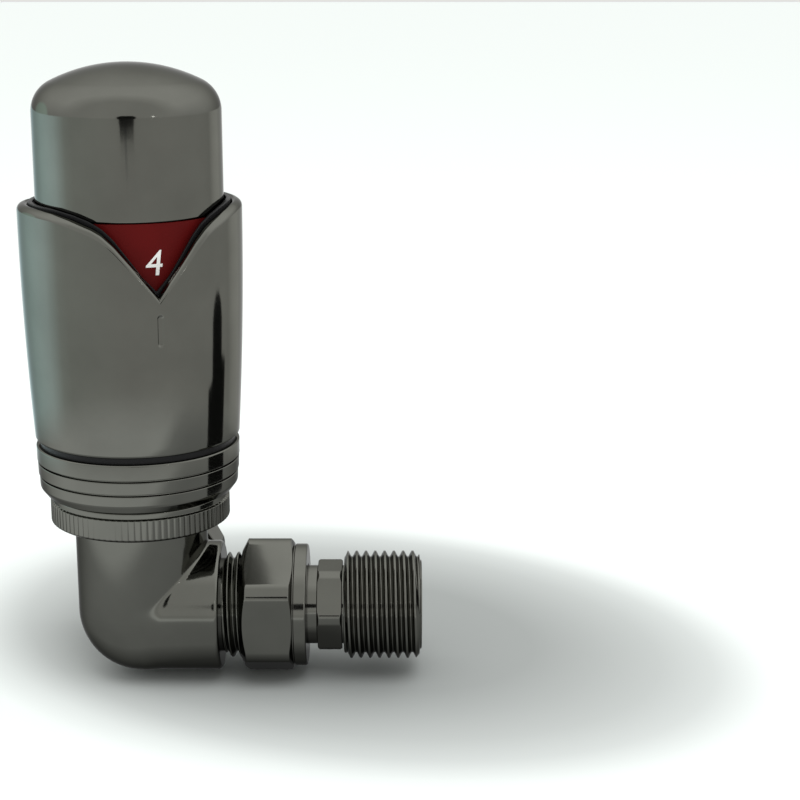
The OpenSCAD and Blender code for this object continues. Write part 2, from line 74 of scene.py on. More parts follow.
HEAD_X = sum(span("knob_cap", X)) / 2              # the head's axis; the radiator axis is at Y = Z = 0
INLET_Z = sum(span("compression_nut", Z)) / 2      # the pipe inlet's axis
KNOB_R = half_width("knob_cap", X)
CAP_Z, KNOB_TOP = span("knob_cap", Z)
SCALE_R = half_width("scale_ring", X)
SCALE_Z, SCALE_TOP = span("scale_ring", Z)
SLEEVE_R = half_width("outer_sleeve", X)
SLEEVE_Z, SLEEVE_TOP = span("outer_sleeve", Z)
BASE_R = half_width("ribbed_base_ring", X)
BASE_Z, BASE_TOP = span("ribbed_base_ring", Z)
RING_R = half_width("coupling_ring", X)
RING_Z, RING_TOP = span("coupling_ring", Z)
NUT_CORNER_R = half_width("union_nut", Z)
NUT_FLATS = 2 * half_width("union_nut", Y)
NUT_A, NUT_B = (edge - HEAD_X for edge in span("union_nut", X))
PIPE_NUT_A, PIPE_NUT_B = span("compression_nut", Y)
TAIL_A, TAIL_B = (edge - HEAD_X for edge in span("tailpiece", X))
THREAD_R = half_width("tailpiece", Y)
BODY_R = -span("valve_body", Z)[0]
BODY_TOP = span("valve_body", Z)[1]
UNION_THREAD_END = span("valve_body", X)[1] - HEAD_X
INLET_THREAD_END = span("valve_body", Y)[1]
FLOOR_Z = min(span(node, Z)[0] for node in frame["nodes"])
NOTCH_TURN = math.radians(21.5)                    # from the front (-Y) towards +X
PITCH = 1.814                                      # of the G1/2 thread, whose crests have THREAD_R
THREAD_DEPTH = 1.16
THREAD_A = -HEAD_X                                 # the frame's origin is where the tail's thread starts

# ---------- laying a turned piece along an axis ----------


def up_the_head(p):
    return np.stack([HEAD_X + p[..., 0], p[..., 1], p[..., 2]], -1)


def along_tail(p):
    return np.stack([HEAD_X + p[..., 2], -p[..., 1], p[..., 0]], -1)


def along_inlet(p):
    return np.stack([HEAD_X + p[..., 0], p[..., 2], INLET_Z - p[..., 1]], -1)


# ---------- outlines ----------


def arc(centre, radius, start, end, steps):
    """Points along a circular arc, angles in degrees."""
    turn = np.radians(np.linspace(start, end, steps + 1))
    return [(centre[0] + radius * math.cos(t), centre[1] + radius * math.sin(t)) for t in turn]


def outline(corners, steps=6):
    """A closed outline from (radius, height, rounding) corners, each corner cut back into an arc."""
    points = []
    count = len(corners)
    for i, (r, h, rounding) in enumerate(corners):
        here = np.array([r, h], float)
        before = np.array(corners[i - 1][:2], float) - here
        after = np.array(corners[(i + 1) % count][:2], float) - here
        if rounding <= 0:
            points.append(tuple(here))
            continue
        u, v = before / np.linalg.norm(before), after / np.linalg.norm(after)
        half = math.acos(np.clip(u @ v, -1, 1)) / 2
        reach = min(rounding / math.tan(half), 0.45 * np.linalg.norm(before), 0.45 * np.linalg.norm(after))
        radius = reach * math.tan(half)
        centre = here + (u + v) / np.linalg.norm(u + v) * (radius / math.sin(half))
        a, b = here + u * reach - centre, here + v * reach - centre
        sweep = math.atan2(a[0] * b[1] - a[1] * b[0], a @ b)
        start = math.atan2(a[1], a[0])
        for k in range(steps + 1):
            t = start + sweep * k / steps
            points.append((centre[0] + radius * math.cos(t), centre[1] + radius * math.sin(t)))
    return np.array(points)


def spaced(start, end, step):
    """Heights from start towards end, end left out, about a step apart."""
    return np.linspace(start, end, max(1, round(abs(end - start) / step)), endpoint=False)


# ---------- meshes ----------


def turned(r, h, place=up_the_head, turn=None):
    """A closed outline carried round its axis: vertices, faces and vertex normals.
    r and h have one row per direction and one column per outline point, and the outline runs up the outside."""
    rows, cols = r.shape
    turn = (np.arange(rows) * TAU / rows if turn is None else turn)[:, None]
    points = place(np.stack([r * np.cos(turn), r * np.sin(turn), h], -1))
    across = np.roll(points, -1, 0) - np.roll(points, 1, 0)
    along = np.roll(points, -1, 1) - np.roll(points, 1, 1)
    normals = np.cross(across, along)
    poles = (r < 1e-6).all(0)
    for j in np.flatnonzero(poles):
        normals[:, j] = normals[:, j - 1 if not poles[j - 1] else (j + 1) % cols].mean(0)
    ids = np.arange(rows * cols).reshape(rows, cols)
    ids[:, poles] = ids[:1, poles]
    nxt, up = np.roll(ids, -1, 0), np.roll(ids, -1, 1)
    corner = np.roll(nxt, -1, 1)
    quads = np.stack([ids, nxt, corner, up], -1).reshape(-1, 4)
    faces = [tuple(dict.fromkeys(quad)) for quad in quads.tolist()]
    faces = [face for face in faces if len(face) > 2]
    return points.reshape(-1, 3), faces, normals.reshape(-1, 3)


def lathe(points, columns=192, place=up_the_head):
    """A turned piece whose outline is the same in every direction."""
    return turned(np.tile(points[:, 0], (columns, 1)), np.tile(points[:, 1], (columns, 1)), place)


def smooth_min(a, b, blend):
    gap = np.maximum(blend - np.abs(a - b), 0) / blend
    return np.minimum(a, b) - gap * gap * blend / 4


def smooth_max(a, b, blend):
    return -smooth_min(-a, -b, blend)


def surface_of(distance, low, high, cell):
    """The zero surface of a distance function inside a box: vertices, faces and vertex normals.
    Each cell that it crosses gets one vertex, which is then drawn onto the surface."""
    counts = [int(math.ceil((b - a) / cell)) + 1 for a, b in zip(low, high)]
    grids = [a + cell * np.arange(n) for a, n in zip(low, counts)]
    gx, gy, gz = np.meshgrid(*grids, indexing="ij")
    value = distance(np.stack([gx, gy, gz], -1))
    inside = value < 0
    shape = tuple(n - 1 for n in value.shape)
    total, hits = np.zeros(shape + (3,)), np.zeros(shape)
    corners = [(i, j, k) for i in (0, 1) for j in (0, 1) for k in (0, 1)]

    def at(field, c):
        return field[c[0]:c[0] + shape[0], c[1]:c[1] + shape[1], c[2]:c[2] + shape[2]]

    for a in corners:
        for axis in range(3):
            if a[axis]:
                continue
            b = tuple(1 if n == axis else v for n, v in enumerate(a))
            va, vb = at(value, a), at(value, b)
            crosses = at(inside, a) != at(inside, b)
            share = np.where(crosses, va / np.where(crosses, va - vb, 1), 0)
            for n in range(3):
                total[..., n] += crosses * (share if n == axis else a[n])
            hits += crosses
    used = hits > 0
    ids = np.full(shape, -1)
    ids[used] = np.arange(used.sum())
    cells = np.argwhere(used)
    points = np.array(low) + cell * (cells + total[used] / hits[used][:, None])
    faces = []
    for axis in range(3):
        b, c = (axis + 1) % 3, (axis + 2) % 3
        first = np.moveaxis(inside, (axis, b, c), (0, 1, 2))
        cube = np.moveaxis(ids, (axis, b, c), (0, 1, 2))
        change = first[:-1, 1:-1, 1:-1] != first[1:, 1:-1, 1:-1]
        leaving = first[:-1, 1:-1, 1:-1][change]
        quad = np.stack([cube[:, :-1, :-1][change], cube[:, 1:, :-1][change],
                         cube[:, 1:, 1:][change], cube[:, :-1, 1:][change]], -1)
        quad[~leaving] = quad[~leaving][:, ::-1]
        faces += quad.tolist()

    def slope(p):
        step = 0.02
        moves = np.eye(3) * step
        return np.stack([(distance(p + m) - distance(p - m)) / (2 * step) for m in moves], -1)

    for _ in range(4):
        g = slope(points)
        size = np.maximum((g * g).sum(-1), 0.05)
        move = g * (distance(points) / size)[:, None]
        points = points - np.clip(move, -cell / 2, cell / 2)
    return points, faces, slope(points)


def placed(name, mesh, material):
    """A new object of a mesh and its material, linked to the scene."""
    mesh.materials.append(material)
    obj = bpy.data.objects.new(name, mesh)
    bpy.context.scene.collection.objects.link(obj)
    return obj


def build(name, parts, material, body, replaces):
    """One smooth-shaded object from (vertices, faces, normals) parts, on a body and in place of a CAD node."""
    points, faces, normals, start = [], [], [], 0
    for part_points, part_faces, part_normals in parts:
        points.append(part_points)
        normals.append(part_normals)
        faces += [tuple(start + v for v in face) for face in part_faces]
        start += len(part_points)
    points, normals = np.concatenate(points), np.concatenate(normals)
    used = np.zeros(len(points), bool)
    used[[v for face in faces for v in face]] = True
    new_id = np.cumsum(used) - 1
    mesh = bpy.data.meshes.new(name)
    mesh.from_pydata((points[used] * MM).tolist(), [], [tuple(new_id[v] for v in face) for face in faces])
    mesh.polygons.foreach_set("use_smooth", [True] * len(mesh.polygons))
    kept = normals[used]
    kept = kept / np.maximum(np.linalg.norm(kept, axis=1, keepdims=True), 1e-12)
    mesh.normals_split_custom_set_from_vertices(kept.tolist())
    obj = placed(name, mesh, material)
    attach(obj, body)
    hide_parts(replaces)


# ---------- materials ----------


class Nodes:
    """A node tree with the few helpers the recipes below need. Texture scales are per metre."""

    def __init__(self, tree):
        self.tree = tree

    def node(self, kind, **settings):
        made = self.tree.nodes.new(kind)
        for key, value in settings.items():
            setattr(made, key, value)
        return made

    def link(self, output, target):
        self.tree.links.new(output, target)

    def flat_length(self, vector):
        """Length of a vector, its height left out."""
        flat = self.node("ShaderNodeVectorMath", operation="MULTIPLY")
        flat.inputs[1].default_value = (1, 1, 0)
        self.link(vector, flat.inputs[0])
        length = self.node("ShaderNodeVectorMath", operation="LENGTH")
        self.link(flat.outputs["Vector"], length.inputs[0])
        return length.outputs["Value"]

    def ramp(self, value, stops):
        """Colours, or greys as single numbers, at places along a value."""
        ramp = self.node("ShaderNodeValToRGB")
        while len(ramp.color_ramp.elements) < len(stops):
            ramp.color_ramp.elements.new(0.5)
        for element, (position, colour) in zip(ramp.color_ramp.elements, stops):
            element.position = position
            element.color = (colour, colour, colour, 1) if isinstance(colour, float) else (*colour, 1)
        self.link(value, ramp.inputs["Fac"])
        return ramp.outputs["Color"]

    def ranged(self, value, **ends):
        """The value carried from from_min..from_max to to_min..to_max, each 0 or 1 where it isn't given."""
        carried = self.node("ShaderNodeMapRange")
        for end, number in ends.items():
            carried.inputs[end.replace("_", " ").title()].default_value = number
        self.link(value, carried.inputs["Value"])
        return carried.outputs["Result"]

    def mix(self, factor, a, b, blend="MIX"):
        """Two colours mixed. The factor and b are an output or a fixed value."""
        mixed = self.node("ShaderNodeMix", data_type="RGBA", blend_type=blend)
        self.link(a, mixed.inputs["A"])
        for value, target in ((factor, mixed.inputs["Factor"]), (b, mixed.inputs["B"])):
            if isinstance(value, bpy.types.NodeSocket):
                self.link(value, target)
            else:
                target.default_value = value
        return mixed.outputs["Result"]


class Shader(Nodes):
    """A material, with its Principled shader and places in the object's own coordinates."""

    def __init__(self, name):
        self.material = bpy.data.materials.new(name)
        self.material.use_nodes = True
        super().__init__(self.material.node_tree)
        self.shader = self.tree.nodes["Principled BSDF"]
        self.place = self.node("ShaderNodeTexCoord").outputs["Object"]

    def set(self, values):
        for key, value in values.items():
            self.shader.inputs[key].default_value = value

    def mapped(self, **settings):
        """The place moved, turned and scaled by a mapping node. Capitalised settings are its inputs."""
        mapping = self.node("ShaderNodeMapping", vector_type=settings.pop("kind", "POINT"))
        for key, value in settings.items():
            mapping.inputs[key].default_value = value
        self.link(self.place, mapping.inputs["Vector"])
        return mapping.outputs["Vector"]

    def noise(self, scale, detail=3.0, roughness=0.5):
        """Noise over the piece."""
        texture = self.node("ShaderNodeTexNoise")
        texture.inputs["Scale"].default_value = scale
        texture.inputs["Detail"].default_value = detail
        texture.inputs["Roughness"].default_value = roughness
        self.link(self.place, texture.inputs["Vector"])
        return texture.outputs["Fac"]

    def bump(self, value, depth, after=None):
        """Relief of a depth in metres, on top of an earlier bump."""
        bump = self.node("ShaderNodeBump")
        bump.inputs["Strength"].default_value = 1.0
        bump.inputs["Distance"].default_value = depth
        self.link(value, bump.inputs["Height"])
        if after:
            self.link(after, bump.inputs["Normal"])
        return bump.outputs["Normal"]


def plated(name, tint, roughness=(0.055, 0.11)):
    """Polished black nickel: a dark mirror with a faint cloudiness and the shallow waves of the plating."""
    s = Shader(name)
    s.set({"Metallic": 1.0, "Specular Tint": (0.42, 0.42, 0.42, 1)})
    cloud = s.noise(90.0, detail=4.0)
    dark, light = tuple(0.93 * c for c in tint), tuple(1.07 * c for c in tint)
    s.link(s.ramp(cloud, [(0.3, dark), (0.7, light)]), s.shader.inputs["Base Color"])
    smudge = s.noise(160.0, detail=5.0, roughness=0.6)
    s.link(s.ranged(smudge, to_min=roughness[0], to_max=roughness[1]), s.shader.inputs["Roughness"])
    waves = s.bump(s.noise(420.0, detail=1.0), 0.0000035)
    s.link(s.bump(s.noise(5200.0, detail=2.0), 0.0000003, waves), s.shader.inputs["Normal"])
    return s.material


def metal(name, colour, roughness, grain=1500.0, depth=0.000002):
    """Machined or drawn metal with a fine grain."""
    s = Shader(name)
    s.set({"Metallic": 1.0})
    cloud = s.noise(120.0)
    dark = tuple(0.85 * c for c in colour)
    s.link(s.ramp(cloud, [(0.3, dark), (0.7, colour)]), s.shader.inputs["Base Color"])
    fine = s.noise(grain, detail=4.0)
    s.link(s.ranged(fine, to_min=roughness * 0.8, to_max=roughness * 1.25), s.shader.inputs["Roughness"])
    s.link(s.bump(fine, depth), s.shader.inputs["Normal"])
    return s.material


def plastic(name, colour, roughness, grain=2600.0, depth=0.000004, gloss=0.5):
    """Moulded plastic or rubber: slight colour variation and a fine mould grain."""
    s = Shader(name)
    s.set({"Metallic": 0.0, "IOR": 1.5, "Specular IOR Level": gloss})
    cloud = s.noise(140.0)
    dark = tuple(0.88 * c for c in colour)
    s.link(s.ramp(cloud, [(0.35, dark), (0.65, colour)]), s.shader.inputs["Base Color"])
    fine = s.noise(grain, detail=3.0)
    s.link(s.ranged(fine, to_min=roughness * 0.85, to_max=roughness * 1.15), s.shader.inputs["Roughness"])
    s.link(s.bump(fine, depth), s.shader.inputs["Normal"])
    return s.material


NICKEL = (0.165, 0.167, 0.150)
black_nickel = plated("black_nickel", NICKEL)
black_nickel_brass = plated("black_nickel_brass", NICKEL, roughness=(0.07, 0.13))
brass = metal("machined_brass", (0.72, 0.50, 0.22), 0.28)
steel = metal("steel", (0.56, 0.55, 0.53), 0.25)
tinned = metal("sensor_metal", (0.62, 0.62, 0.60), 0.35)
black_plastic = plastic("black_plastic", (0.010, 0.010, 0.011), 0.45, gloss=0.2)
white_plastic = plastic("white_plastic", (0.74, 0.72, 0.66), 0.4)
rubber = plastic("seal_rubber", (0.012, 0.012, 0.012), 0.62, grain=3500.0, depth=0.00001)
red_plastic = plastic("red_plastic", (0.098, 0.0055, 0.0055), 0.4, gloss=0.05)
numeral_white = plastic("numeral_white", (0.86, 0.86, 0.84), 0.45)

FINISH = {
    "bare_brass": brass, "steel": steel, "sensor_metal": tinned, "black_plastic": black_plastic,
    "white_plastic": white_plastic, "seal_rubber": rubber, "red_scale": red_plastic,
    "plated_brass": black_nickel_brass, "plated_shell": black_nickel,
}
for row in frame["record"]["subparts"]:
    node = frame["nodes"][row["node"]]
    node.data.materials.clear()
    node.data.materials.append(FINISH[row["material_slot"]])
    node.data.polygons.foreach_set("material_index", [0] * len(node.data.polygons))

# ---------- knob cap ----------


def knob_cap():
    """A plated cup: straight wall, rounded shoulder and shallow crown."""
    shoulder, crown, wall = 6.2, 31.0, 1.3
    crown_z = KNOB_TOP - crown
    reach = KNOB_R - shoulder
    shoulder_z = crown_z + math.sqrt((crown - shoulder) ** 2 - reach ** 2)
    tangent = math.degrees(math.asin(reach / (crown - shoulder)))
    lip = 0.35
    points = [(KNOB_R, z) for z in spaced(CAP_Z + lip, shoulder_z, 1.5)]
    points += arc((reach, shoulder_z), shoulder, 0, 90 - tangent, 20)
    points += arc((0, crown_z), crown, 90 - tangent, 90, 16)[1:]
    points += arc((0, crown_z), crown - wall, 90, 90 - tangent, 10)
    points += arc((reach, shoulder_z), shoulder - wall, 90 - tangent, 0, 8)[1:]
    inner = KNOB_R - wall
    points += [(inner, z) for z in spaced(shoulder_z - 1, CAP_Z + lip, 4)]
    points += arc((inner + lip, CAP_Z + lip), lip, 180, 270, 4)
    points += arc((KNOB_R - lip, CAP_Z + lip), lip, 270, 360, 6)[:-1]
    build("knob_cap_shell", [lathe(np.array(points), 240)], black_nickel, "knob", "knob_cap")


# ---------- scale ring and numerals ----------


def scale_ring():
    """The red ring, with its lower and upper edges softened."""
    inner = SCALE_R - 1.1
    points = outline([(inner, SCALE_Z, 0.1), (SCALE_R, SCALE_Z, 0.3), (SCALE_R, SCALE_TOP, 0.12),
                      (inner, SCALE_TOP, 0.1)], 4)
    build("scale_band", [lathe(points, 192)], red_plastic, "knob", "scale_ring")


def numeral(text, turn, middle_z, height):
    """A printed numeral wrapped on the scale ring, its middle at a turn from the front."""
    curve = bpy.data.curves.new(f"numeral_{text}", "FONT")
    curve.body = text
    curve.size = height / 0.72 * MM
    curve.align_x, curve.align_y = "CENTER", "CENTER"
    curve.shear = 0.12
    curve.extrude = 0.02 * MM
    curve.resolution_u = 6
    maker = bpy.data.objects.new("numeral_maker", curve)
    bpy.context.scene.collection.objects.link(maker)
    bpy.context.view_layer.update()
    flat = bpy.data.meshes.new_from_object(maker.evaluated_get(bpy.context.evaluated_depsgraph_get()))
    bpy.data.objects.remove(maker)
    shape = bmesh.new()
    shape.from_mesh(flat)
    bmesh.ops.remove_doubles(shape, verts=shape.verts, dist=1e-7)
    for _ in range(3):
        long_edges = [e for e in shape.edges if e.calc_length() > 0.45 * MM]
        bmesh.ops.subdivide_edges(shape, edges=long_edges, cuts=1)
        bmesh.ops.triangulate(shape, faces=[f for f in shape.faces if len(f.verts) > 3])
    middle_x, middle_y = (
        (min(v.co[axis] for v in shape.verts) + max(v.co[axis] for v in shape.verts)) / 2 for axis in (X, Y))
    ring = SCALE_R * MM
    for v in shape.verts:
        angle = turn + (v.co.x - middle_x) / ring
        radius = ring + 0.015 * MM + v.co.z
        z = middle_z * MM + (v.co.y - middle_y)
        v.co = Vector((HEAD_X * MM + radius * math.sin(angle), -radius * math.cos(angle), z))
    mesh = bpy.data.meshes.new(f"numeral_{text}")
    shape.to_mesh(mesh)
    shape.free()
    bpy.data.meshes.remove(flat)
    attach(placed(f"numeral_{text.replace('*', 'frost')}", mesh, numeral_white), "knob")


def numerals():
    """Frost mark and 1 to 5 round the scale, 4 in the front notch; a higher number comes in from the left."""
    spacing = math.radians(50)
    for place, text in enumerate(["*", "1", "2", "3", "4", "5"]):
        numeral(text, NOTCH_TURN + (4 - place) * spacing, 70.1, 4.7)


# ---------- outer sleeve and its liner ----------

NOTCH_Z = 63.6
SLEEVE_NOTCH = [(0, 0), (7.7, 9.3), (9.8, 11.3), (11.3, 12.25), (14.7, 13.7), (17.3, 14.5), (19, 14.7)]
LINER_NOTCH = [(0, 1.5), (2.5, 4.2), (5, 7.8), (7.2, 10.9), (9, 12.8), (11, 14.1), (13.4, 15.1), (16, 15.8)]


def rim_height(edge, top, across):
    """Height of a notched rim at a distance across from a notch's middle, its bends eased."""
    places, heights = zip(*edge)
    reach, per_mm, ease = 22, 40, 17
    fine = np.linspace(0, reach, reach * per_mm + 1)
    height = np.interp(fine, [*places, 20], [*(NOTCH_Z + h for h in heights), top])
    padded = np.concatenate([2 * height[0] - height[ease:0:-1], height, np.full(ease, height[-1])])
    window = np.ones(ease) / ease
    smooth = np.convolve(np.convolve(padded, window, "same"), window, "same")[ease:-ease]
    return np.interp(np.abs(across), fine, smooth)


def notch_directions(coarse, fine_reach, fine_step):
    """Directions round the head, close together near both notches, measured from the front notch."""
    even = np.arange(coarse) * TAU / coarse
    near = np.arange(-fine_reach, fine_reach + fine_step / 2, fine_step)
    turns = np.concatenate([even, near % TAU, near + math.pi])
    turns = np.unique(np.round(turns % TAU, 5))
    keep = np.concatenate([[True], np.diff(turns) > fine_step * 0.4])
    return turns[keep]


def sleeve_outer(z):
    """Outer radius of the sleeve at a height: widest at the rim, drawn in towards its bottom edge."""
    taper, height = 1.4, SLEEVE_TOP - SLEEVE_Z
    return SLEEVE_R - taper * ((SLEEVE_TOP - z) / height) ** 2


def pointer_sink(across, z):
    """Depth of the short engraved line below each notch."""
    low, high, half, depth, edge = 56.0, 60.6, 0.65, 0.26, 0.35
    off = np.hypot(across, np.maximum(np.maximum(low - z, z - high), 0))
    return depth * np.clip((half - off) / edge, 0, 1)


def notched_tube(turn, edge, top, outer, inner_r, low, heights, lip, bevel=None, rise=0.0):
    """Outline grids of a tube with a notched, rounded rim. heights are the places of its outer wall, 0 to 1,
    bevel is the width of the outer rounding, and rise is how far it climbs past the rim."""
    bevel = bevel or lip
    outer_top = rim_height(edge, top, outer(top) * np.sin(turn))
    inner_top = rim_height(edge, top, inner_r * np.sin(turn))
    z = low + (outer_top - lip - low)[:, None] * heights
    r, h = [outer(z)], [z]
    for t in np.radians(np.linspace(15, 90, 6)):
        r.append((outer(outer_top) - bevel + bevel * math.cos(t))[:, None])
        h.append((outer_top - lip + (lip + rise) * math.sin(t))[:, None])
    for t in np.radians(np.linspace(90, 180, 5)):
        r.append(np.full((len(turn), 1), inner_r + lip + lip * math.cos(t)))
        h.append((inner_top + rise - lip + lip * math.sin(t))[:, None])
    return r, h, inner_top


def outer_sleeve():
    """The plated sleeve: a tapered tube whose rim dips into two V notches."""
    wall, lip, rise = 2.0, 0.5, 0.8
    turn = notch_directions(300, math.radians(6), math.radians(0.33))
    inner_r, bottom_in, bottom_r = SLEEVE_R - wall, 17.3, sleeve_outer(SLEEVE_Z)
    start, groove_low, groove_high = SLEEVE_Z + lip, 55.0, 61.5
    tall = NOTCH_Z - start
    heights = np.concatenate([np.linspace(0, (groove_low - start) / tall, 16, endpoint=False),
                              np.linspace((groove_low - start) / tall, (groove_high - start) / tall, 40)])
    turn_groove = SLEEVE_R * np.sin(turn)
    low_z = np.tile(start + tall * heights, (len(turn), 1))
    low_r = sleeve_outer(low_z) - pointer_sink(turn_groove[:, None], low_z)
    up, up_z, inner_top = notched_tube(turn, SLEEVE_NOTCH, SLEEVE_TOP, sleeve_outer, inner_r, groove_high + 0.4,
                                       np.linspace(0, 1, 16), lip, wall - lip, rise)
    inside_z = inner_top[:, None] + (46 - inner_top)[:, None] * np.linspace(0.06, 1, 12)
    rest = outline([(inner_r, 50, 0), (inner_r, 46, 1), (bottom_in, 39, 1), (bottom_in, SLEEVE_Z, 0.15),
                    (bottom_r, SLEEVE_Z, lip), (bottom_r, 46, 0)], 5)[1:-1]
    plain = [np.tile(rest[:, n], (len(turn), 1)) for n in (0, 1)]
    r = np.concatenate([low_r, *up, np.full(inside_z.shape, inner_r), plain[0]], 1)
    h = np.concatenate([low_z, *up_z, inside_z, plain[1]], 1)
    part = turned(r, h, turn=turn - math.pi / 2 + NOTCH_TURN)
    build("sleeve_shell", [part], black_nickel, "body", "outer_sleeve")


def sleeve_liner():
    """The black liner, whose narrower notches edge the scale window."""
    turn = notch_directions(360, math.radians(6), math.radians(0.5))
    outer_r, inner_r = half_width("sleeve_liner", X), 17.62
    low, top = span("sleeve_liner", Z)
    r, h, inner_top = notched_tube(turn, LINER_NOTCH, top, lambda z: outer_r + 0 * z, inner_r, low + 0.2,
                                   np.linspace(0, 1, 12), 0.2)
    inside_z = inner_top[:, None] + (low + 0.2 - inner_top)[:, None] * np.linspace(0.06, 1, 8)
    foot = [(inner_r + 0.2, low), (outer_r - 0.2, low)]
    r += [np.full(inside_z.shape, inner_r)] + [np.full((len(turn), 1), point[0]) for point in foot]
    h += [inside_z] + [np.full((len(turn), 1), point[1]) for point in foot]
    part = turned(np.concatenate(r, 1), np.concatenate(h, 1), turn=turn - math.pi / 2 + NOTCH_TURN)
    build("liner_shell", [part], black_plastic, "body", "sleeve_liner")


# ---------- ribbed base ring and coupling ring ----------


def ribbed_base_ring():
    """Three bands with fine grooves between them, narrowing towards the coupling ring."""
    inner, neck, step_z = 14.6, 17.3, BASE_TOP - 0.9
    points = outline([
        (inner, BASE_Z, 0.1), (17.6, BASE_Z, 0.5), (18.72, 25.5, 0.9), (18.78, 27.5, 0.16), (18.3, 27.62, 0.05),
        (18.3, 27.82, 0.05), (18.95, 27.94, 0.16), (19.02, 30.2, 0.16), (18.5, 30.32, 0.05), (18.5, 30.5, 0.05),
        (BASE_R - 0.03, 30.62, 0.16), (BASE_R, BASE_TOP, 0.35), (neck, BASE_TOP, 0.2), (neck, step_z, 0.1),
        (inner, step_z, 0.1)], 5)
    build("base_ring_shell", [lathe(points, 240)], black_nickel, "body", "ribbed_base_ring")


def coupling_ring():
    """The knurled ring: flat-topped ribs round its lower band and a plain edge above them."""
    knurls, per_knurl, depth = 90, 8, 0.14
    columns = knurls * per_knurl
    wave = np.array([0.0, 0.0, 0.0, 0.1, 0.6, 1.0, 0.6, 0.1])
    cut = np.tile(wave, knurls) * depth
    land = RING_R - 0.42
    knurl_top = 22.6
    bore, lip_bore = 14.35, 13.6
    points = outline([
        (bore, RING_Z, 0.2), (RING_R - 0.9, RING_Z, 0.3), (RING_R, RING_Z + 0.55, 0.3),
        (RING_R, knurl_top - 0.3, 0.12), (land, knurl_top, 0.1), (land, RING_TOP, 0.3),
        (lip_bore, RING_TOP, 0.2), (lip_bore, 22.75, 0.1),
        (14.7, 22.75, 0.1), (14.7, BODY_TOP, 0.1), (bore, BODY_TOP - 0.3, 0.1)], 4)
    r = np.tile(points[:, 0], (columns, 1))
    h = np.tile(points[:, 1], (columns, 1))
    ribbed = np.clip((points[:, 0] - (land - 0.35)) / 0.35, 0, 1) * (points[:, 1] < knurl_top - 0.02)
    r = r - cut[:, None] * ribbed[None, :]
    build("coupling_ring_shell", [turned(r, h)], black_nickel_brass, "coupling", "coupling_ring")


# ---------- nuts ----------


def hexagon(columns, flats, rounding):
    """Radius of a hexagon in each direction, its corners rounded, with a corner on the first direction."""
    turn = np.arange(columns) * TAU / columns
    step = math.radians(60)
    a = np.abs((turn + step / 2) % step - step / 2)          # from the nearest corner
    side = flats / 2
    centre = (side - rounding) / math.cos(step / 2)
    meets_flat = math.atan2(rounding * math.sin(step / 2), centre + rounding * math.cos(step / 2))
    inside = np.maximum(rounding ** 2 - (centre * np.sin(a)) ** 2, 0)
    corner = centre * np.cos(a) + np.sqrt(inside)
    return np.where(a < meets_flat, corner, side / np.cos(step / 2 - a))


def hex_nut(length, collar_h, collar_r, bore, hole_r, hole_depth, place):
    """A hexagon nut with turned corners and a round collar at its outer end, standing on height 0."""
    columns = 480
    hexa = hexagon(columns, NUT_FLATS, 3.6)
    hex_end = length - collar_h
    chamfer_h, chamfer_in, soft = 1.25, 2.5, 0.25
    outer = [(NUT_CORNER_R - chamfer_in, 0.0)]
    outer += [(NUT_CORNER_R - chamfer_in + chamfer_in * t, chamfer_h * t) for t in np.linspace(0.04, 1, 14)]
    outer += [(NUT_CORNER_R, z) for z in spaced(chamfer_h + 0.2, hex_end - 0.6, 0.6)]
    outer += [(NUT_CORNER_R - 1.5 * t, hex_end - 0.6 + 0.6 * t) for t in np.linspace(0, 1, 7)]
    outer = np.array(outer)
    r = smooth_min(outer[None, :, 0], hexa[:, None], soft)
    h = np.tile(outer[:, 1], (columns, 1))
    rest = outline([
        (NUT_CORNER_R - 1.5, hex_end - 0.1, 0.1), (collar_r - 0.25, hex_end, 0.08),
        (collar_r - 0.25, hex_end + 0.2, 0.08),
        (collar_r, hex_end + 0.3, 0.1), (collar_r, length, 0.4), (hole_r, length, 0.35),
        (hole_r, length - hole_depth, 0.1), (bore, length - hole_depth - 0.4, 0.1), (bore, 0.0, 0.4),
        (NUT_CORNER_R - chamfer_in, 0.0, 0.0)], 4)[5:-1]
    r = np.concatenate([r, np.tile(rest[:, 0], (columns, 1))], 1)
    h = np.concatenate([h, np.tile(rest[:, 1], (columns, 1))], 1)
    return turned(r, h, place)


def along_tail_from(start):
    return lambda p: along_tail(p + np.array([0, 0, start]))


def along_inlet_from(start):
    return lambda p: along_inlet(p + np.array([0, 0, start]))


def union_nut():
    part = hex_nut(NUT_B - NUT_A, 2.6, 11.8, 10.35, 7.75, 2.5, along_tail_from(NUT_A))
    build("union_nut_shell", [part], black_nickel_brass, "union", "union_nut")


def compression_nut():
    part = hex_nut(PIPE_NUT_B - PIPE_NUT_A, 1.4, 11.6, 10.65, 7.65, 1.6, along_inlet_from(PIPE_NUT_A))
    build("compression_nut_shell", [part], black_nickel_brass, "pipe_nut", "compression_nut")


# ---------- threads ----------


def thread_wave(phase):
    """Height of the rounded 55 degree pipe thread over one pitch, 0 in the root and 1 on the crest."""
    flank, rounding = math.radians(27.5), 0.1373 * PITCH
    x = np.abs((phase + 0.5) % 1.0 - 0.5) * PITCH            # from the crest
    x_end = PITCH / 2
    bend = rounding * math.cos(flank)
    drop = rounding * (1 - math.sin(flank))
    crest = rounding - np.sqrt(np.maximum(rounding ** 2 - x ** 2, 0))
    straight = drop + (x - bend) / math.tan(flank)
    root = np.sqrt(np.maximum(rounding ** 2 - (x_end - x) ** 2, 0)) - rounding
    depth = 2 * drop + (x_end - 2 * bend) / math.tan(flank)
    down = np.where(x < bend, crest, np.where(x > x_end - bend, depth + root, straight))
    return 1 - down / depth


